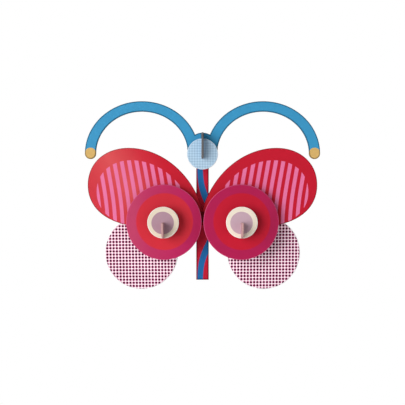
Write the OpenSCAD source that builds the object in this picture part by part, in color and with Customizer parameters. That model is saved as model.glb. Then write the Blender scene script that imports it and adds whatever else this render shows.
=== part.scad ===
// Wall butterfly made of flat die-cut cards that slot together.
// X runs to the right, Z up, and the printed faces look along -Y.
// The origin is the centre of the hanging hole, in the card that stands behind the body.
// Flat cards are drawn as (x, z) outlines. Upright cards are drawn as (depth, z) outlines,
// where depth is the distance from the wall towards the viewer.

/* [Card] */
// Thickness of the greyboard that every piece is cut from
card = 2; // [1.6:0.1:2.6]
// How much wider a slot is than the card that sits in it
slot_play = 0.2; // [0.1:0.05:0.4]
// Radius of the rounded corners on the hidden ends of the upright cards
corner_r = 2; // [1:0.25:3]

/* [Layers] */
// Clear space between the wall and the body strip with the lower wings
wall_gap = 8; // [7:0.5:14]
// Clear space from the body strip to the upper wings and the antennae
wing_gap = 8; // [5:0.5:14]
// Clear space from the upper wings to the large discs
disc_gap = 8; // [5:0.5:14]
// Clear space from the large discs to the eye discs
eye_gap = 10; // [5:0.5:16]
// Clear space from the antennae to the head disc
head_gap = 6; // [4:0.5:12]

/* [Discs] */
// Diameter of the large discs and of the lower wings
large_disc_d = 70.4; // [60:0.2:80]
// Diameter of the eye discs, the head disc and the round between the antennae
small_disc_d = 29; // [24:0.5:34]
// Open space between the rims of the two large discs
large_disc_apart = 1.8; // [1:0.1:8]

/* [Head] */
// Drop from the hanging hole to the centre of the head disc
head_drop = 12.5; // [10:0.5:16]
// Drop from the hanging hole to the centre of the round between the antennae
cap_drop = 6.1; // [4:0.1:9]
// How far the nose stands out in front of the head disc
nose_reach = 10; // [8.5:0.5:16]
// Radius of the nose's upper front corner
nose_round = 8; // [3:0.5:8]
// How far the nose reaches below the centre of the head disc
nose_below = 4.5; // [3:0.25:7]
// How far the top of the nose stays under the top of the round between the antennae
nose_sink = 0.7; // [0:0.1:2]

/* [Antennae] */
// Distance of an arch's centre from the middle of the body
arch_out = 57.6; // [54:0.2:64]
// Drop from the hanging hole to the level where an arch is widest
arch_drop = 11.4; // [9:0.2:14]
// Half of an arch's width, measured over its outer edge
arch_half_w = 54.2; // [52:0.2:56]
// Rise of an arch's outer edge above its widest level
arch_rise = 49.7; // [44:0.2:56]
// Width of the arm where it comes down
arm_side_w = 10.6; // [8:0.2:13]
// Width of the arm at the top of the arch
arm_top_w = 9.9; // [7:0.1:12]

/* [Upper wings] */
// Distance from the middle of the body to the outermost point of a wing
wing_reach = 109; // [100:0.5:120]
// Drop from the hanging hole to that outermost point
wing_reach_drop = 41.4; // [38:0.2:46]
// Distance from the middle of the body to the highest point of a wing
wing_top_out = 70.3; // [66:0.2:76]
// Drop from the hanging hole to that highest point
wing_top_drop = 6.1; // [3:0.1:9]
// Drop from the hanging hole to the bottom of the notch between the wings
notch_drop = 64.2; // [61:0.2:67]
// Slope of the notch's sides, in degrees above level
notch_slope = 73.5; // [65:0.5:80]
// Drop from the hanging hole to the lower edge of the wings
wing_low_drop = 82; // [80:0.2:86]
// Distance from the middle of the body to the lowest point of a wing
wing_low_out = 45; // [40:0.5:50]
// Height of the bridge that joins the two wings, from the notch down
bridge_h = 15; // [14:0.25:17]
// How much of the bridge stays above and below the window for the spine's waist tab
bridge_edge = 3; // [2:0.25:4]

/* [Eyes and lower wings] */
// Drop from the hanging hole to the centres of the eyes and the large discs
eye_drop = 76.4; // [74:0.2:80]
// How far a lower wing's centre lies outwards from the eye
lower_wing_out = 22.8; // [18:0.2:26]
// How far a lower wing's centre lies below the eye
lower_wing_drop = 30; // [27:0.2:33]
// Length of the slots in which the wings sit on the eye fins
wing_lap = 9; // [7:0.25:11]

/* [Body] */
// Width of the body strip
body_w = 12; // [9:0.25:16]
// Drop from the hanging hole to the straight lower end of the body strip
body_low_drop = 132.6; // [126:0.2:142]
// Length of the slots in which the body strip, antennae and head disc sit
head_lap = 8; // [6:0.25:10]
// How far the spine runs on below the bridge between the upper wings
spine_tail = 16; // [6:0.5:40]
// Diameter of the hanging hole
hang_hole_d = 3; // [2:0.1:4]

/* [Hidden] */
$fn = 96;

// Depths of the cards' back faces, from the wall
hole_depth = wall_gap / 2;
body_depth = wall_gap;
wing_depth = body_depth + card + wing_gap;
disc_depth = wing_depth + card + disc_gap;
eye_depth = disc_depth + card + eye_gap;
head_depth = wing_depth + card + head_gap;
eye_front = eye_depth + card;
nose_front = head_depth + card + nose_reach;

large_r = large_disc_d / 2;
small_r = small_disc_d / 2;
slot_w = card + slot_play;
past = 1;

// Heights on the middle line
head_z = -head_drop;
cap_z = -cap_drop;
nose_low = head_z - nose_below;
nose_top = cap_z + small_r - nose_sink;
head_lap_z = head_z + nose_below;
body_top = head_lap_z + head_lap;
body_low = -body_low_drop;
notch_z = -notch_drop;
bridge_z = notch_z - bridge_h;
tab_top = notch_z - bridge_edge;
tab_low = bridge_z + bridge_edge;
spine_low = bridge_z - spine_tail;

// Places of the eyes and the lower wings
eye_x = large_r + large_disc_apart / 2;
eye_z = -eye_drop;
eye_low = eye_z - small_r;
eye_lap_z = eye_z - small_r / 2;
lower_x = eye_x + lower_wing_out;
lower_z = eye_z - lower_wing_drop;
lower_rim_z = lower_z + sqrt(large_r * large_r - lower_wing_out * lower_wing_out);
wing_low_z = -wing_low_drop;
wing_lap_z = wing_low_z + wing_lap;
lower_lap_z = lower_rim_z - wing_lap;
fin_top = max(wing_lap_z + wing_lap, eye_z + 2 * corner_r);
fin_low = min(lower_lap_z - wing_lap, eye_low - 2 * corner_r);

// How far the handles of a wing's curves reach, as shares of the stretch they shape
pull_notch = 0.62;
pull_top_in = 0.44;
pull_top_out = 0.58;
pull_side_up = 0.6;
pull_side_down = 0.5;
pull_low = 0.76;
pull_middle = 0.33;

// Steps of the drawn curves
arch_step = 3;
curve_steps = 20;
corner_step = 10;

// Point on a cubic curve from a to d with the handle points b and c
function cubic(a, b, c, d, t) =
    pow(1 - t, 3) * a + 3 * t * pow(1 - t, 2) * b + 3 * t * t * (1 - t) * c + pow(t, 3) * d;

// The curve's points without its last one, so that curves join end to end
function curve(a, b, c, d) =
    [for (i = [0 : curve_steps - 1]) cubic(a, b, c, d, i / curve_steps)];

// Upper half of an ellipse, from its right end to its left end
function half_ellipse(centre, half_w, rise) =
    [for (a = [0 : arch_step : 180]) centre + [half_w * cos(a), rise * sin(a)]];

// Quarter circle, counter-clockwise from the given angle
function arc(centre, r, start) =
    [for (a = [start : corner_step : start + 90]) centre + r * [cos(a), sin(a)]];

// Right wing's edge, from the notch over the top and the outer end to the middle again
function right_wing() =
    let (
        notch = [0, notch_z],
        top = [wing_top_out, -wing_top_drop],
        side = [wing_reach, -wing_reach_drop],
        low = [wing_low_out, wing_low_z],
        middle = [0, bridge_z],
        notch_pull = pull_notch * (top.y - notch.y)
    )
    concat(
        curve(notch, notch + notch_pull * [cos(notch_slope), sin(notch_slope)],
            top - [pull_top_in * wing_top_out, 0], top),
        curve(top, top + [pull_top_out * (side.x - top.x), 0],
            side + [0, pull_side_up * (top.y - side.y)], side),
        curve(side, side - [0, pull_side_down * (side.y - low.y)],
            low + [pull_low * (side.x - low.x), 0], low),
        curve(low, low - [pull_middle * wing_low_out, 0],
            middle + [pull_middle * wing_low_out, 0], middle),
        [middle]
    );

// The same edge on the left, without the two points on the middle line
function mirrored(points) =
    [for (i = [len(points) - 2 : -1 : 1]) [-points[i].x, points[i].y]];

// A flat card that faces the viewer, its back face at the given depth
module flat_card(depth) {
    translate([0, hole_depth - depth, 0])
        rotate([90, 0, 0])
            linear_extrude(card)
                children();
}

// An upright card that stands on edge, its middle at x
module upright_card(x) {
    translate([x - card / 2, hole_depth, 0])
        rotate([90, 0, 90])
            linear_extrude(card)
                mirror([1, 0])
                    children();
}

// Slot through a flat card, centred on x, between two heights
module slot(x, low, high) {
    translate([x - slot_w / 2, low])
        square([slot_w, high - low]);
}

// Notch in an upright card for the flat card at the given depth
module notch(depth, low, high) {
    translate([depth - slot_play / 2, low])
        square([slot_w, high - low]);
}

// Rectangle from one depth to another, its two front corners rounded
module front_rounded(back, front, low, high, r_low, r_high) {
    polygon(concat(
        [[back, high], [back, low]],
        arc([front - r_low, low + r_low], r_low, -90),
        arc([front - r_high, high - r_high], r_high, 0)));
}

// One antenna: an arch between two half ellipses, with a round end at the tip
module antenna_arm() {
    centre = [arch_out, -arch_drop];
    inner_half_w = arch_half_w - arm_side_w;
    tip = centre + [arch_half_w - arm_side_w / 2, 0];
    difference() {
        polygon(half_ellipse(centre, arch_half_w, arch_rise));
        polygon(concat(
            half_ellipse(centre, inner_half_w, arch_rise - arm_top_w),
            [centre - [inner_half_w, past], centre + [inner_half_w, -past]]));
    }
    translate(tip)
        circle(arm_side_w / 2);
}

module antennae() {
    color("steelblue")
        flat_card(wing_depth)
            difference() {
                union() {
                    antenna_arm();
                    mirror([1, 0])
                        antenna_arm();
                    translate([0, cap_z])
                        circle(small_r);
                }
                slot(0, head_lap_z, cap_z + small_r + past);
            }
}

module body_strip() {
    color("royalblue")
        flat_card(body_depth)
            difference() {
                translate([-body_w / 2, body_low])
                    square([body_w, body_top - body_low]);
                slot(0, head_lap_z, body_top + past);
                slot(0, bridge_z, notch_z);
            }
}

// Upright card behind the body: it stands against the wall, carries the hanging hole, comes
// forward as the nose over the head, and meets the wings at the waist with a shoulder and a tab
module spine() {
    color("gray")
        upright_card(0)
            difference() {
                union() {
                    front_rounded(0, body_depth, spine_low, nose_top, corner_r, corner_r);
                    front_rounded(0, nose_front, nose_low, nose_top, corner_r / 2, nose_round);
                    front_rounded(0, wing_depth, bridge_z + slot_play, notch_z - slot_play,
                        corner_r, corner_r);
                    translate([wing_depth - past, tab_low])
                        square([card + past, tab_top - tab_low]);
                }
                notch(body_depth, nose_low - past, head_lap_z);
                notch(wing_depth, nose_low - past, head_lap_z);
                notch(head_depth, nose_low - past, head_lap_z);
                translate([hole_depth, 0])
                    circle(d = hang_hole_d);
            }
}

module head_disc() {
    color("lightblue")
        flat_card(head_depth)
            difference() {
                translate([0, head_z])
                    circle(small_r);
                slot(0, head_lap_z, head_z + small_r + past);
            }
}

module upper_wings() {
    color("crimson")
        flat_card(wing_depth)
            difference() {
                polygon(concat(right_wing(), mirrored(right_wing())));
                slot(0, tab_low - slot_play, tab_top);
                for (side = [-1, 1])
                    slot(side * eye_x, wing_low_z - wing_lap, wing_lap_z);
            }
}

module lower_wing(side) {
    color("lightpink")
        flat_card(body_depth)
            difference() {
                translate([side * lower_x, lower_z])
                    circle(large_r);
                slot(side * eye_x, lower_lap_z, lower_z + large_r + past);
            }
}

module large_disc(side) {
    color("mediumvioletred")
        flat_card(disc_depth)
            difference() {
                translate([side * eye_x, eye_z])
                    circle(large_r);
                slot(side * eye_x, eye_low - slot_play, eye_z);
            }
}

module eye_disc(side) {
    color("wheat")
        flat_card(eye_depth)
            difference() {
                translate([side * eye_x, eye_z])
                    circle(small_r);
                slot(side * eye_x, eye_low - past, eye_lap_z);
            }
}

// Quarter round that stands out of the eye, from its middle down to its rim
module eye_nose() {
    intersection() {
        translate([eye_front, eye_z])
            circle(small_r);
        translate([eye_front, eye_low])
            square([small_r, small_r]);
    }
}

// Upright card that carries both wings, the large disc and the eye of one side
module eye_fin(side) {
    color("tan")
        upright_card(side * eye_x)
            difference() {
                union() {
                    front_rounded(0, disc_depth, fin_low, fin_top, corner_r, corner_r);
                    translate([disc_depth - corner_r - past, eye_low])
                        square([eye_front - disc_depth + corner_r + past, small_r]);
                    eye_nose();
                }
                notch(body_depth, fin_low - past, lower_lap_z);
                notch(wing_depth, wing_lap_z, fin_top + past);
                notch(eye_depth, eye_lap_z, eye_z + past);
            }
}

antennae();
body_strip();
spine();
head_disc();
upper_wings();
lower_wing(-1);  // lower_wing_left
lower_wing(1);  // lower_wing_right
large_disc(-1);  // large_disc_left
large_disc(1);  // large_disc_right
eye_disc(-1);  // eye_disc_left
eye_disc(1);  // eye_disc_right
eye_fin(-1);  // eye_fin_left
eye_fin(1);  // eye_fin_right
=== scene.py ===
import math

import bmesh
import bpy
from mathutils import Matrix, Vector


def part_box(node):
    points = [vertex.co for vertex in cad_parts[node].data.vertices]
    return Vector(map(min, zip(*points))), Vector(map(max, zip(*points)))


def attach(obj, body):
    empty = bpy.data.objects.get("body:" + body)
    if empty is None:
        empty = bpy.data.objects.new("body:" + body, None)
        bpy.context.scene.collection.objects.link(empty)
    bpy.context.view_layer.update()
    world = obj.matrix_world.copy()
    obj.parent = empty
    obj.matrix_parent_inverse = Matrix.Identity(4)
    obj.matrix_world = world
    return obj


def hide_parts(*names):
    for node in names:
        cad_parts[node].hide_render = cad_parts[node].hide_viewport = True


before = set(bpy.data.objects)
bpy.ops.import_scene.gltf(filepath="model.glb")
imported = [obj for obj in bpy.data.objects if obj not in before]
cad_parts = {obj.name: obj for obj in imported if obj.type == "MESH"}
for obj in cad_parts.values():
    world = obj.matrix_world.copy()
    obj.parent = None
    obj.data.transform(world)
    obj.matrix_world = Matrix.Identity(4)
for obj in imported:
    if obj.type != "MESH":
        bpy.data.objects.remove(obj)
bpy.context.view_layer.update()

MM = 0.001


# ---------------------------------------------------------------- sizes

# Softened rim where the die pressed the print round the edge of a card
RIM = 0.5 * MM
RIM_STEPS = 2

# The card whose notch comes so close to its window that a full rim would run into it
CROWDED_CARD = "upper_wings"

# Slots that the upright cards stand in: half their width as cut, and half of it once the board
# has closed on the card in them, so that no light shows past it. A corner that is this near a
# slot's side counts as on it
SLOT_HALF = 1.1 * MM
SLOT_CLOSED_HALF = 1.01 * MM
SLOT_NEAR = 0.02 * MM

# Line just inside the cut edge, darkened with black as painted shade round the edge, and the
# share of black in it
LINE_W = 0.55 * MM
PAINTED_EDGE_SHADE_SHARE = 0.55

# A face counts as flat, or as part of the rim, by how squarely it looks along the card's thin
# axis. An edge that turns by more than the crease is shaded as a sharp one
FLAT = 0.995
SLOPED = 0.2
CREASE = math.radians(40)

# The CAD cards are loose triangles: corners this near are one, and faces this level are one
SAME_CORNER = 0.002 * MM
SAME_LEVEL = math.radians(0.5)

# How far behind the wing card's front the inked end of the spine's tab reaches
TAB_END = 1.0 * MM

# The prints are measured in millimetres, on X to the right and Z up, from the hanging hole. This
# is how wide the soft step is at an edge of a print
PRINT_SOFT = 0.12

# Striped field on the upper wings: the wing's own outline drawn smaller about a point low on it.
# The outline is left out this near a slot, and no reach is as long as the longest
FIELD_OUT = 54.5
FIELD_LOW = -82.2
FIELD_SHARE = 0.845
FIELD_SOFT = 0.25
FIELD_LONGEST = 100.0
SLOT_CLEAR = 2
STRIPE_PITCH = 7.03
STRIPE_FIRST = 53.8
STRIPE_TOP_W = 3.9
STRIPE_LOW_W = 3.4
SWAY = 5.985
SWAY_LENGTH = 33.25

# Dots on the lower wings: their pitches, the round and the bleed about it, and for each side the
# centre of one dot and the lean of the columns and of the rows in degrees
DOT_PITCH_ACROSS = 3.098
DOT_PITCH_UP = 3.037
DOT_R = 1.03
DOT_BLEED_R = 1.34
DOT_BLEED_SOFT = 0.3
DOT_GRIDS = {"left": ((-92.09, -99.17), -1.3, -0.2), "right": ((93.54, -98.23), 0.4, -0.4)}

# Rounds on the large discs and in the eyes, and how far each is off its disc's middle
INNER_R = 26.6
INNER_SHIFT = (0.65, 0.55)
INNER_SOFT = 1.4
PUPIL_R = 10.3
PUPIL_SHIFT = (-0.37, -0.34)

# Fine check on the head disc
CHECK_PITCH = 2.45
CHECK_LINE = 1.2
CHECK_SOFT = 0.4

# Blue band that swings across the body strip, and is wider where it does
BAND_HALF_W = 2.68
BAND_SWELL = 3.0
BAND_SOFT = 0.3
BAND_REST = -2.4
BAND_SWING = 17.2
BAND_MIDDLE = -79.0
BAND_SPREAD = 24.4

# Gold round at the tip of an antenna, printed a little past the tip's own round, and how far its
# middle is below the hanging hole
TIP_R = 5.3
TIP_PRINT_R = 5.5
TIP_DROP = 11.4

# Camera of the photograph: level, in front of the middle of the body
CAMERA_BACK = 616 * MM
CAMERA_DROP = 58 * MM
IMAGE_SIDE = 405
FOCAL_PIXELS = 631.6
SENSOR_W = 36


# ---------------------------------------------------------------- colours

def srgb(red, green, blue):
    """A colour as mixed on paper, in 0..255, as Blender's linear one."""
    def linear(value):
        value /= 255
        return value / 12.92 if value <= 0.04045 else ((value + 0.055) / 1.055) ** 2.4
    return (linear(red), linear(green), linear(blue), 1.0)


def shade(colour, share):
    """The colour brought towards black, below 0, or towards white, above 0."""
    if share < 0:
        return tuple(value * (1 + share) for value in colour[:3]) + (1.0,)
    return tuple(value + (1 - value) * share for value in colour[:3]) + (1.0,)


SKY_BLUE = srgb(59, 151, 198)
GOLD = srgb(218, 179, 107)
STRIPE_PINK = srgb(236, 119, 166)
BAND_BLUE = srgb(20, 100, 162)
STRIP_RED = srgb(188, 14, 46)
CHECK_LIGHT = srgb(192, 218, 238)
CHECK_DARK = srgb(156, 187, 212)
PAPER_WHITE = srgb(254, 251, 253)
DOT_WINE = srgb(40, 0, 16)
DOT_BLEED = srgb(246, 84, 166)
# Pink for the large discs' rims, paler than the ring as a painted highlight; the lamp lights it
# more on the left-facing edges
RIM_PINK_PAINTED_HIGHLIGHT = srgb(214, 88, 130)

# Inks that change from left to right, as (place in millimetres, colour). The places are along X,
# and for the wings along a line that leans up from it. They carry painted light: the left wing's
# red is paler in a band across its outer top as a painted sheen, the left magenta ring is paler
# towards the left as a painted sheen, and both rings darken towards their right edges as painted
# shade
WING_REDS_WITH_PAINTED_SHEEN = (
    (-112, srgb(210, 49, 62)), (-98, srgb(214, 61, 70)), (-83, srgb(220, 78, 82)),
    (-70, srgb(215, 63, 71)), (-56, srgb(206, 37, 54)), (-42, srgb(201, 18, 42)),
    (-30, srgb(197, 18, 44)))
# Lean of the line along which the left wing's painted sheen changes
PAINTED_SHEEN_LEAN = math.radians(33)
WING_RED = WING_REDS_WITH_PAINTED_SHEEN[-1][1]
# The left ring's magenta is paler towards the left as a painted sheen, and both rings darken
# towards their right edges as painted shade
RING_MAGENTAS_PAINTED_SHEEN_AND_SHADE = {
    "left": ((-64, srgb(192, 59, 100)), (-53, srgb(190, 47, 96)), (-14, srgb(184, 24, 87)),
             (-4, srgb(170, 17, 74))),
    "right": ((56, srgb(177, 21, 78)), (68, srgb(167, 22, 73)))}

# The same inks drawn lighter or darker on the two sides as painted light: the left disc red is
# lighter as a painted sheen, and the left eye's cream and mauve are darker as painted shade
DISC_REDS_PAINTED_LIGHT_PER_SIDE = {"left": srgb(209, 39, 55), "right": srgb(197, 18, 46)}
CREAMS_PAINTED_LIGHT_PER_SIDE = {"left": srgb(233, 218, 196), "right": srgb(243, 230, 211)}
MAUVES_PAINTED_LIGHT_PER_SIDE = {"left": srgb(178, 142, 156), "right": srgb(200, 168, 181)}

# Prints of the upright cards, raw board, the lining paper on the backs, and the rims' colours:
# paler than the print on the head disc and the eyes as a painted highlight, a little darker on
# the dotted cards, and for the tab's end the wing red darkened as painted shade
DUSTY_PINK = srgb(206, 156, 166)
POWDER_BLUE = srgb(150, 182, 206)
BOARD_GREY = srgb(140, 137, 138)
BOARD_DULL = srgb(101, 97, 97)
BOARD_ROSE = srgb(196, 152, 150)
LINING = srgb(206, 201, 193)
BLACK = (0.0, 0.0, 0.0, 1.0)
HEAD_RIM_PAINTED_HIGHLIGHT = shade(CHECK_LIGHT, 0.3)
DOTTED_RIM = shade(PAPER_WHITE, -0.1)
EYE_RIMS_PAINTED_HIGHLIGHT = {side: shade(cream, 0.7) for side, cream in CREAMS_PAINTED_LIGHT_PER_SIDE.items()}
# The wing red darkened as painted shade, for the tab's end in the gap between the discs
TAB_INK_PAINTED_SHADE = shade(WING_RED, -0.6)

# Specular level of the printed faces and of the pressed rims
INK_GLOSS = 0.15
RIM_GLOSS = 0.0

# Grain of the papers and boards: grains to a millimetre along X, Y and Z
INK_CLOUD = (0.06, 0.06, 0.06)
INK_FIBRE = (2.2, 2.2, 2.2)
BOARD_PULP = (3.0, 3.0, 3.0)
BOARD_ALONG = 0.5
BOARD_LAYERS = 5.0
LINING_CLOUD = (0.08, 0.08, 0.08)
LINING_FIBRE = (1.6, 1.6, 0.5)

# How rough the finishes are, and how much rougher the ink gets with its fibres
INK_ROUGH = 0.44
INK_FIBRE_ROUGH = 0.12
BOARD_ROUGH = 0.9
LINING_ROUGH = 0.85


# ---------------------------------------------------------------- finishes

class Sheet:
    """One finish, drawn in millimetres on the piece's own X and Z."""

    def __init__(self, name):
        self.material = bpy.data.materials.new(name)
        self.material.use_nodes = True
        self.tree = self.material.node_tree
        self.shader = self.tree.nodes["Principled BSDF"]
        place = self.tree.nodes.new("ShaderNodeTexCoord").outputs["Object"]
        in_mm = self.tree.nodes.new("ShaderNodeVectorMath")
        in_mm.operation = "SCALE"
        in_mm.inputs["Scale"].default_value = 1 / MM
        self.tree.links.new(place, in_mm.inputs[0])
        self.place = in_mm.outputs[0]
        self.x, self.y, self.z = self.split(self.place)

    def put(self, socket, value):
        """Links the value to the socket, or sets it there where it is a number or a colour."""
        if isinstance(value, bpy.types.NodeSocket):
            self.tree.links.new(value, socket)
        else:
            socket.default_value = value

    def split(self, vector):
        node = self.tree.nodes.new("ShaderNodeSeparateXYZ")
        self.tree.links.new(vector, node.inputs[0])
        return node.outputs[0], node.outputs[1], node.outputs[2]

    def sum(self, operation, *values):
        """One step of arithmetic on the values."""
        node = self.tree.nodes.new("ShaderNodeMath")
        node.operation = operation
        for socket, value in zip(node.inputs, values):
            self.put(socket, value)
        return node.outputs[0]

    def turned(self, centre, angle):
        """X and Z measured from centre, along axes turned by angle."""
        node = self.tree.nodes.new("ShaderNodeMapping")
        node.vector_type = "TEXTURE"
        node.inputs["Location"].default_value = (centre[0], 0, centre[1])
        node.inputs["Rotation"].default_value = (0, angle, 0)
        self.tree.links.new(self.place, node.inputs["Vector"])
        x, _, z = self.split(node.outputs[0])
        return x, z

    def length(self, x, z):
        """How long the line is that goes x across and z up."""
        squares = self.sum("MULTIPLY", x, x), self.sum("MULTIPLY", z, z)
        return self.sum("SQRT", self.sum("ADD", *squares))

    def distance(self, centre):
        """Distance from the centre, a pair of X and Z."""
        off_x = self.sum("SUBTRACT", self.x, centre[0])
        off_z = self.sum("SUBTRACT", self.z, centre[1])
        return self.length(off_x, off_z)

    def below(self, value, limit, soft=PRINT_SOFT):
        """1 where value is under limit, 0 where it is over, with a soft step between."""
        gap = self.sum("DIVIDE", self.sum("SUBTRACT", limit, value), soft)
        node = self.tree.nodes.new("ShaderNodeClamp")
        self.tree.links.new(self.sum("ADD", gap, 0.5), node.inputs[0])
        return node.outputs[0]

    def from_line(self, value, pitch):
        """Distance from value to the nearest whole multiple of pitch."""
        part = self.sum("FRACT", self.sum("ADD", self.sum("DIVIDE", value, pitch), 0.5))
        return self.sum("MULTIPLY", self.sum("ABSOLUTE", self.sum("SUBTRACT", part, 0.5)), pitch)

    def mix(self, under, over, share):
        """The colour under with a share of the one over it, by the node's sockets for colours."""
        node = self.tree.nodes.new("ShaderNodeMix")
        node.data_type = "RGBA"
        self.put(node.inputs[0], share)
        self.put(node.inputs[6], under)
        self.put(node.inputs[7], over)
        return node.outputs[2]

    def across(self, stops, lean=0.0):
        """A colour that changes along X, or along a line that leans up from X, through the stops,
        each a place in millimetres and a colour."""
        level_part = self.sum("MULTIPLY", self.x, math.cos(lean))
        along = self.sum("MULTIPLY_ADD", self.z, math.sin(lean), level_part)
        first, last = stops[0][0], stops[-1][0]
        node = self.tree.nodes.new("ShaderNodeValToRGB")
        ramp = node.color_ramp
        ramp.elements[0].color = stops[0][1]
        ramp.elements[1].color = stops[-1][1]
        for place, colour in stops[1:-1]:
            ramp.elements.new((place - first) / (last - first)).color = colour
        share = self.sum("DIVIDE", self.sum("SUBTRACT", along, first), last - first)
        self.tree.links.new(share, node.inputs[0])
        return node.outputs[0]

    def noise(self, grains_per_mm, detail=2.0):
        """Cloudy noise about 0.5, with the stated grains to a millimetre along X, Y and Z."""
        stretch = self.tree.nodes.new("ShaderNodeVectorMath")
        stretch.operation = "MULTIPLY"
        stretch.inputs[1].default_value = grains_per_mm
        self.tree.links.new(self.place, stretch.inputs[0])
        node = self.tree.nodes.new("ShaderNodeTexNoise")
        node.inputs["Scale"].default_value = 1.0
        node.inputs["Detail"].default_value = detail
        self.tree.links.new(stretch.outputs[0], node.inputs["Vector"])
        return node.outputs[0]

    def tone(self, colour, grain, swing):
        """The colour, lighter and darker with the grain by up to swing either way."""
        node = self.tree.nodes.new("ShaderNodeHueSaturation")
        about_0 = self.sum("SUBTRACT", grain, 0.5)
        self.put(node.inputs["Value"], self.sum("MULTIPLY_ADD", about_0, 2 * swing, 1.0))
        self.put(node.inputs["Color"], colour)
        return node.outputs[0]

    def relief(self, height, depth, strength):
        """Raises the surface with the height, by up to depth in metres."""
        node = self.tree.nodes.new("ShaderNodeBump")
        node.inputs["Strength"].default_value = strength
        node.inputs["Distance"].default_value = depth
        self.tree.links.new(height, node.inputs["Height"])
        self.tree.links.new(node.outputs[0], self.shader.inputs["Normal"])


def printed(name, draw, gloss=INK_GLOSS):
    """Smooth paper on board with matt ink: draw paints the colours on the sheet."""
    sheet = Sheet(name)
    ink = draw(sheet)
    ink = sheet.tone(ink, sheet.noise(INK_CLOUD), swing=0.05)
    fibre = sheet.noise(INK_FIBRE, detail=3.0)
    sheet.put(sheet.shader.inputs["Base Color"], sheet.tone(ink, fibre, swing=0.05))
    rough = sheet.sum("MULTIPLY_ADD", fibre, INK_FIBRE_ROUGH, INK_ROUGH)
    sheet.put(sheet.shader.inputs["Roughness"], rough)
    sheet.shader.inputs["Specular IOR Level"].default_value = gloss
    sheet.relief(fibre, depth=0.02 * MM, strength=0.35)
    return sheet.material


def plain(colour):
    """A drawing for printed(): one colour all over."""
    return lambda sheet: colour


def cut_board(name, colour, across):
    """Raw cut edge of the board: layers that run along the edge, rough from the die. across is
    the axis that the card is thin along."""
    sheet = Sheet(name)
    grains = [BOARD_ALONG] * 3
    grains[across] = BOARD_LAYERS
    layers = sheet.noise(grains, detail=3.0)
    pulp = sheet.noise(BOARD_PULP, detail=2.0)
    body = sheet.tone(sheet.tone(colour, layers, swing=0.22), pulp, swing=0.08)
    sheet.put(sheet.shader.inputs["Base Color"], body)
    sheet.shader.inputs["Roughness"].default_value = BOARD_ROUGH
    sheet.relief(layers, depth=0.05 * MM, strength=0.5)
    return sheet.material


def board_back(name, colour):
    """Unprinted back of a card: lining paper with short fibres."""
    sheet = Sheet(name)
    cloud = sheet.noise(LINING_CLOUD)
    fibre = sheet.noise(LINING_FIBRE, detail=4.0)
    paper = sheet.tone(sheet.tone(colour, cloud, swing=0.05), fibre, swing=0.1)
    sheet.put(sheet.shader.inputs["Base Color"], paper)
    sheet.shader.inputs["Roughness"].default_value = LINING_ROUGH
    sheet.relief(fibre, depth=0.03 * MM, strength=0.4)
    return sheet.material


# ---------------------------------------------------------------- prints

def centre_of(node):
    """Middle of a card, as X and Z in millimetres."""
    low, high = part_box(node)
    return (low.x + high.x) / 2 / MM, (low.z + high.z) / 2 / MM


def field_reach():
    """The striped field's reach from its low point, by angle above level, as (angle, reach) pairs.
    It is the right wing's own cut edge, drawn smaller. Its slot and the notch are left out."""
    low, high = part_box("eye_fin_right")
    slot_x = (low.x + high.x) / 2 / MM
    edge = set()
    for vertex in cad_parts["upper_wings"].data.vertices:
        x, z = vertex.co.x / MM, vertex.co.z / MM
        clear = abs(x - slot_x) > SLOT_CLEAR and x > SLOT_CLEAR
        if clear and z > FIELD_LOW:
            edge.add((round(x, 3), round(z, 3)))
    reach = {}
    for x, z in edge:
        angle = math.atan2(z - FIELD_LOW, x - FIELD_OUT)
        reach[angle] = math.hypot(x - FIELD_OUT, z - FIELD_LOW) * FIELD_SHARE
    return sorted(reach.items())


def striped_field(sheet):
    """1 inside the striped field of either wing."""
    out = sheet.sum("SUBTRACT", sheet.sum("ABSOLUTE", sheet.x), FIELD_OUT)
    up = sheet.sum("SUBTRACT", sheet.z, FIELD_LOW)
    angle = sheet.sum("DIVIDE", sheet.sum("ARCTAN2", up, out), math.pi)
    node = sheet.tree.nodes.new("ShaderNodeFloatCurve")
    curve = node.mapping.curves[0]
    points = [(0.0, 0.0)] + [(a / math.pi, r / FIELD_LONGEST) for a, r in field_reach()]
    curve.points[0].location = points[0]
    curve.points[1].location = points[-1]
    for point in points[1:-1]:
        curve.points.new(*point)
    for point in curve.points:
        point.handle_type = "VECTOR"
    node.mapping.update()
    sheet.put(node.inputs["Value"], angle)
    reach = sheet.sum("MULTIPLY", node.outputs[0], FIELD_LONGEST)
    return sheet.below(sheet.length(out, up), reach, FIELD_SOFT)


def wing_print(sheet):
    """Red with a field of pink stripes that sway, and are wider towards the top. The left wing's
    red is paler across its outer top as a painted sheen.
    """
    above_low = sheet.sum("SUBTRACT", sheet.z, FIELD_LOW)
    swing = sheet.sum("COSINE", sheet.sum("DIVIDE", above_low, SWAY_LENGTH))
    along = sheet.sum("MULTIPLY_ADD", swing, SWAY, sheet.sum("ABSOLUTE", sheet.x))
    from_middle = sheet.from_line(sheet.sum("SUBTRACT", along, STRIPE_FIRST), STRIPE_PITCH)
    height = sheet.sum("DIVIDE", above_low, -FIELD_LOW)
    widening = (STRIPE_TOP_W - STRIPE_LOW_W) / 2
    half_w = sheet.sum("MULTIPLY_ADD", height, widening, STRIPE_LOW_W / 2)
    stripe = sheet.sum("MULTIPLY", sheet.below(from_middle, half_w), striped_field(sheet))
    return sheet.mix(sheet.across(WING_REDS_WITH_PAINTED_SHEEN, PAINTED_SHEEN_LEAN), STRIPE_PINK, stripe)


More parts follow.
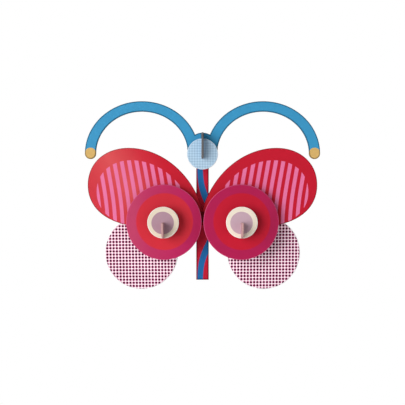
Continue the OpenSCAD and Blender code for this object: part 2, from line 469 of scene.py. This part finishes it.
def dot_print(first_dot, column_lean, row_lean):
    """White with wine dots in columns and rows, one of them centred on first_dot. Each dot has
    bled pink round its edge."""
    def draw(sheet):
        across = sheet.turned(first_dot, column_lean)[0]
        up = sheet.turned(first_dot, row_lean)[1]
        off_x = sheet.from_line(across, DOT_PITCH_ACROSS)
        off_z = sheet.from_line(up, DOT_PITCH_UP)
        off = sheet.length(off_x, off_z)
        bleed = sheet.below(off, DOT_BLEED_R, DOT_BLEED_SOFT)
        paper = sheet.mix(PAPER_WHITE, DOT_BLEED, bleed)
        return sheet.mix(paper, DOT_WINE, sheet.below(off, DOT_R))
    return draw


def round_print(node, shift, radius, soft, outer, inner):
    """A disc with a round of another colour on it. The outer colour may be a row of stops."""
    def draw(sheet):
        x, z = centre_of(node)
        from_round = sheet.distance((x + shift[0], z + shift[1]))
        inside = sheet.below(from_round, radius, soft)
        ground = sheet.across(outer) if isinstance(outer[0], tuple) else outer
        return sheet.mix(ground, inner, inside)
    return draw


def antenna_print(sheet):
    """Blue with a gold round at either tip."""
    low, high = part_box("antennae")
    tip_out = (high.x - low.x) / 2 / MM - TIP_R
    out = sheet.sum("SUBTRACT", sheet.sum("ABSOLUTE", sheet.x), tip_out)
    up = sheet.sum("ADD", sheet.z, TIP_DROP)
    return sheet.mix(SKY_BLUE, GOLD, sheet.below(sheet.length(out, up), TIP_PRINT_R))


def head_print(sheet):
    """Light blue with a check: half the dark ink for a line up, and half for one across."""
    across = sheet.below(sheet.from_line(sheet.x, CHECK_PITCH), CHECK_LINE / 2, CHECK_SOFT)
    up = sheet.below(sheet.from_line(sheet.z, CHECK_PITCH), CHECK_LINE / 2, CHECK_SOFT)
    share = sheet.sum("MULTIPLY", sheet.sum("ADD", across, up), 0.5)
    return sheet.mix(CHECK_LIGHT, CHECK_DARK, share)


def body_print(sheet):
    """Red with a blue band that swings out to the right at mid height, and back."""
    drop = sheet.sum("DIVIDE", sheet.sum("SUBTRACT", sheet.z, BAND_MIDDLE), BAND_SPREAD)
    fade = sheet.sum("EXPONENT", sheet.sum("MULTIPLY", sheet.sum("MULTIPLY", drop, drop), -1.0))
    middle = sheet.sum("MULTIPLY_ADD", fade, BAND_SWING, BAND_REST)
    half_w = sheet.sum("MULTIPLY_ADD", fade, BAND_SWELL, BAND_HALF_W)
    off = sheet.sum("ABSOLUTE", sheet.sum("SUBTRACT", sheet.x, middle))
    return sheet.mix(STRIP_RED, BAND_BLUE, sheet.below(off, half_w, BAND_SOFT))


# ---------------------------------------------------------------- cards

# The axis that a card is thin along: X for the upright cards, Y for those that face the viewer
ACROSS, THROUGH = 0, 1

# Where the upright cards stand along X, in metres
SLOT_PLACES = [
    (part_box(node)[0].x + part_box(node)[1].x) / 2
    for node in ("spine", "eye_fin_left", "eye_fin_right")]


def beside_slot(corner, half_w):
    """The middle of the slot whose side the corner is on, or None."""
    for place in SLOT_PLACES:
        if abs(abs(corner.co.x - place) - half_w) < SLOT_NEAR:
            return place
    return None


def close_slots(card):
    """Brings the sides of the slots up to the upright cards in them."""
    for corner in card.verts:
        place = beside_slot(corner, SLOT_HALF)
        if place is not None:
            corner.co.x = place + math.copysign(SLOT_CLOSED_HALF, corner.co.x - place)


def in_slot(edge):
    """True for an edge along the side or the end of a slot."""
    return all(beside_slot(corner, SLOT_CLOSED_HALF) is not None for corner in edge.verts)


def card_piece(node, axis, faces):
    """The CAD card's own shape with pressed rims. axis is the one that the card is thin along, and
    faces are the finishes of its front, cut edge, back and rim. A fifth is for a line just inside
    the edge of the front."""
    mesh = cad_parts[node].data.copy()
    mesh.materials.clear()
    for finish in faces:
        mesh.materials.append(finish)
    card = bmesh.new()
    card.from_mesh(mesh)
    bmesh.ops.remove_doubles(card, verts=card.verts, dist=SAME_CORNER)
    bmesh.ops.dissolve_limit(card, angle_limit=SAME_LEVEL, verts=card.verts, edges=card.edges)
    if axis == THROUGH:
        close_slots(card)
    card.normal_update()
    rim_edges = [
        edge for edge in card.edges
        if sum(abs(face.normal[axis]) > FLAT for face in edge.link_faces) == 1
        and not (axis == THROUGH and in_slot(edge))]
    bmesh.ops.bevel(
        card, geom=rim_edges, offset=RIM, offset_type="OFFSET", segments=RIM_STEPS,
        profile=0.5, affect="EDGES", clamp_overlap=node == CROWDED_CARD, material=-1)
    card.normal_update()
    front, cut, back, rim, line = range(5)
    for face in card.faces:
        looks = face.normal[axis]
        face.smooth = True
        if abs(looks) > FLAT:
            face.material_index = front if looks < 0 else back
        elif looks < -SLOPED:
            face.material_index = rim
        else:
            face.material_index = cut
    if len(faces) > line:
        fronts = [face for face in card.faces if face.material_index == front]
        ring = bmesh.ops.inset_region(
            card, faces=fronts, thickness=LINE_W, use_even_offset=True)
        for face in ring["faces"]:
            face.material_index = line
    for edge in card.edges:
        flat_sides = sum(abs(face.normal[axis]) > FLAT for face in edge.link_faces)
        edge.smooth = flat_sides != 1 and edge.calc_face_angle(0) < CREASE
    card.to_mesh(mesh)
    card.free()
    piece = bpy.data.objects.new(node + "_card", mesh)
    bpy.context.scene.collection.objects.link(piece)
    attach(piece, "root")
    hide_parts(node)
    return piece


flat_edge = cut_board("cut_edge_of_flat_cards", BOARD_GREY, THROUGH)
flat_back = board_back("lining_on_the_backs", LINING)


def flat_card(node, draw, rim_colour=None):
    """A card that faces the viewer: printed in front, lined behind. Without a colour for its rim,
    the print runs on over the rim and is darkened there and on a line inside it as painted shade
    round the edge."""
    faces = [printed(node + "_print", draw), flat_edge, flat_back]
    if rim_colour:
        faces.append(printed(node + "_rim", plain(rim_colour), RIM_GLOSS))
    else:
        # Painted shade: the print darkened with black on the rim and on the line inside it
        def with_painted_edge_shade(sheet):
            return sheet.mix(draw(sheet), BLACK, PAINTED_EDGE_SHADE_SHARE)
        painted_shade_rim_and_line = printed(node + "_rim", with_painted_edge_shade, RIM_GLOSS)
        faces += [painted_shade_rim_and_line, painted_shade_rim_and_line]
    return card_piece(node, THROUGH, faces)


def upright_card(node, colour, board):
    """A card that stands on edge: printed on both sides, with its cut edge to the viewer."""
    face = printed(node + "_print", plain(colour))
    edge = cut_board(node + "_cut_edge", board, ACROSS)
    return card_piece(node, ACROSS, (face, edge, face, edge))


# These three cards' rims and the line inside them are darkened as painted shade round the edge
flat_card("antennae", antenna_print)
flat_card("body_strip", body_print)
# The head disc's rim is paler than its print as a painted highlight
flat_card("head_disc", head_print, HEAD_RIM_PAINTED_HIGHLIGHT)
flat_card("upper_wings", wing_print)

# The spine's tab ends in the wing card's window, inked in the card's red darkened as painted
# shade for the gap between the discs
spine = upright_card("spine", POWDER_BLUE, BOARD_DULL)
spine.data.materials.append(printed("painted_shade_on_the_tab_end", plain(TAB_INK_PAINTED_SHADE)))
wing_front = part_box("upper_wings")[0].y
for face in spine.data.polygons:
    if face.normal.y < -SLOPED and abs(face.center.y - wing_front) < TAB_END:
        face.material_index = len(spine.data.materials) - 1

for side in ("left", "right"):
    first_dot, column_lean, row_lean = DOT_GRIDS[side]
    dots = dot_print(first_dot, math.radians(column_lean), math.radians(row_lean))
    flat_card("lower_wing_" + side, dots, DOTTED_RIM)
    disc, eye = "large_disc_" + side, "eye_disc_" + side
    # The ring's magenta carries painted sheen and shade, and the left disc's red a painted sheen
    rings = round_print(
        disc, INNER_SHIFT, INNER_R, INNER_SOFT, RING_MAGENTAS_PAINTED_SHEEN_AND_SHADE[side], DISC_REDS_PAINTED_LIGHT_PER_SIDE[side])
    # The disc's rim is inked paler pink as a painted highlight
    flat_card(disc, rings, RIM_PINK_PAINTED_HIGHLIGHT)
    # The eye's cream and mauve are lighter or darker by side as painted light
    pupil = round_print(eye, PUPIL_SHIFT, PUPIL_R, PRINT_SOFT, CREAMS_PAINTED_LIGHT_PER_SIDE[side], MAUVES_PAINTED_LIGHT_PER_SIDE[side])
    # The eye's rim is a paler cream as a painted highlight
    flat_card(eye, pupil, EYE_RIMS_PAINTED_HIGHLIGHT[side])
    upright_card("eye_fin_" + side, DUSTY_PINK, BOARD_ROSE)


# ---------------------------------------------------------------- studio

# The world's colour, its level as the camera and reflections see it, and its level as a fill
WHITE = (1, 1, 1, 1)
WHITE_LEVEL = 1.0
FILL_LEVEL = 0.04

# The middle of the object in metres, where the lamps are aimed
MIDDLE = Vector((0, -0.02, -0.058))

# Each lamp: degrees round from level left, degrees out from the wall (below 0 is behind it),
# distance and width in metres, and the level at which it lights a face turned to the front or back
KEY_LAMP = (8, 52, 3.0, 2.5, 0.76)
SIDE_LAMP = (180, 60, 3.0, 1.6, 0.11)
BACK_LAMP = (75, -40, 2.4, 1.6, 0.65)

# Floor: half its side and its middle in metres, its grey and its roughness
FLOOR_HALF = 1.6
FLOOR_PLACE = (0, -0.65, -0.65)
FLOOR_GREY = (0.8, 0.8, 0.8, 1)
FLOOR_ROUGH = 0.8


def studio_world():
    """White to the camera and in reflections, and an even soft fill for the rest."""
    world = bpy.data.worlds.new("studio")
    bpy.context.scene.world = world
    world.use_nodes = True
    tree = world.node_tree
    background = tree.nodes["Background"]
    background.inputs["Color"].default_value = WHITE
    rays = tree.nodes.new("ShaderNodeLightPath")
    seen = tree.nodes.new("ShaderNodeMath")
    seen.operation = "MAXIMUM"
    through = tree.nodes.new("ShaderNodeMath")
    through.operation = "MAXIMUM"
    tree.links.new(rays.outputs["Is Camera Ray"], seen.inputs[0])
    tree.links.new(rays.outputs["Is Glossy Ray"], seen.inputs[1])
    tree.links.new(seen.outputs[0], through.inputs[0])
    tree.links.new(rays.outputs["Is Transmission Ray"], through.inputs[1])
    level = tree.nodes.new("ShaderNodeMapRange")
    level.inputs["To Min"].default_value = FILL_LEVEL
    level.inputs["To Max"].default_value = WHITE_LEVEL
    tree.links.new(through.outputs[0], level.inputs["Value"])
    tree.links.new(level.outputs[0], background.inputs["Strength"])


def soft_lamp(name, round_by, out_by, distance, width, level):
    """Round soft lamp aimed at the object, strong enough to light its cards to the level."""
    turn, rise = math.radians(round_by), math.radians(out_by)
    level_out = math.cos(rise)
    towards = Vector((-math.cos(turn) * level_out, -math.sin(rise), math.sin(turn) * level_out))
    lamp = bpy.data.lights.new(name, "AREA")
    lamp.shape = "DISK"
    lamp.size = width
    lamp.energy = level * (math.pi * distance) ** 2 / abs(math.sin(rise))
    holder = bpy.data.objects.new(name, lamp)
    holder.location = MIDDLE + distance * towards
    holder.rotation_euler = (-towards).to_track_quat("-Z", "Y").to_euler()
    bpy.context.scene.collection.objects.link(holder)


def pale_floor():
    """Plain floor well under the wall piece, short enough to stay out of the picture."""
    floor = bpy.data.meshes.new("floor")
    slab = bmesh.new()
    bmesh.ops.create_grid(slab, x_segments=1, y_segments=1, size=FLOOR_HALF)
    bmesh.ops.translate(slab, verts=slab.verts, vec=FLOOR_PLACE)
    slab.to_mesh(floor)
    slab.free()
    finish = bpy.data.materials.new("floor_paint")
    finish.use_nodes = True
    paint = finish.node_tree.nodes["Principled BSDF"]
    paint.inputs["Base Color"].default_value = FLOOR_GREY
    paint.inputs["Roughness"].default_value = FLOOR_ROUGH
    floor.materials.append(finish)
    holder = bpy.data.objects.new("floor", floor)
    bpy.context.scene.collection.objects.link(holder)


studio_world()
soft_lamp("key_lamp", *KEY_LAMP)
soft_lamp("side_lamp", *SIDE_LAMP)
soft_lamp("back_lamp", *BACK_LAMP)
pale_floor()

camera = bpy.data.cameras.new("camera")
camera.sensor_width = SENSOR_W
camera.lens = camera.sensor_width * FOCAL_PIXELS / IMAGE_SIDE
viewer = bpy.data.objects.new("camera", camera)
viewer.location = (0, -CAMERA_BACK, -CAMERA_DROP)
viewer.rotation_euler = (math.radians(90), 0, 0)
bpy.context.scene.collection.objects.link(viewer)
bpy.context.scene.camera = viewer
bpy.context.scene.view_settings.view_transform = "Standard"
